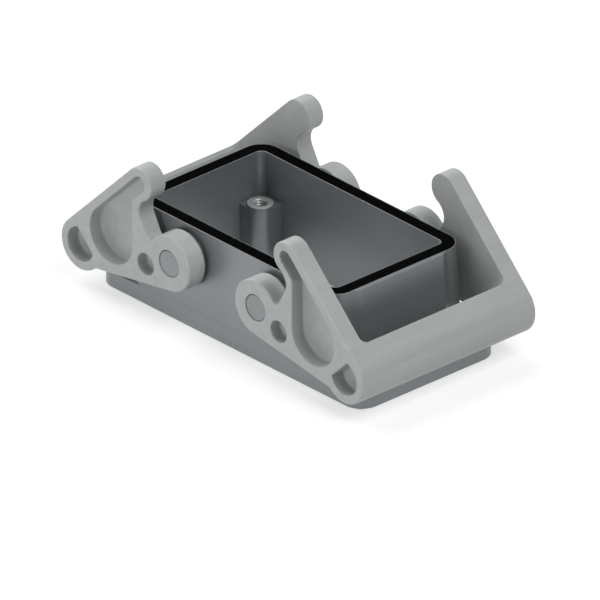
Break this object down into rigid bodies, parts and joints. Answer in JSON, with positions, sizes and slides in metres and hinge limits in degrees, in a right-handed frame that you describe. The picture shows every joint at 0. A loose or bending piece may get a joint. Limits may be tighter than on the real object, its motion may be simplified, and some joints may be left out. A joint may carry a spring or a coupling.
{
  "type": "rectangular connector bulkhead housing",
  "caption": "Open rectangular die-cast connector housing for panel mounting, with corner insert posts, a rim seal and two U-shaped locking levers folded down.",
  "frame": {"origin": "middle of the mounting face that lies on the panel", "axes": "+X along the length, through both locking levers; +Y across the width, along the lever pivots; +Z out of the panel, towards the rim that takes the hood"},
  "size_m": [0.109, 0.0576, 0.0409],
  "materials": {
    "housing": "fine powder coat, grey",
    "lever": "fine matte moulded, light grey",
    "seal": "matte black elastomer"
  },
  "bodies": {
    "base": {"housing": "housing", "rim_seal": "seal", "base_seal": "seal"},
    "left_lever": {"lever_left": "lever"},
    "right_lever": {"lever_right": "lever"}
  },
  "joints": [
    {"name": "left_lever_swing", "type": "hinge", "parent": "base", "child": "left_lever", "pos_m": [-0.0156, 0, 0.0187], "axis": [0, 1, 0], "range_deg": [0, 60]},
    {"name": "right_lever_swing", "type": "hinge", "parent": "base", "child": "right_lever", "pos_m": [0.0156, 0, 0.0187], "axis": [0, -1, 0], "range_deg": [0, 60]}
  ]
}
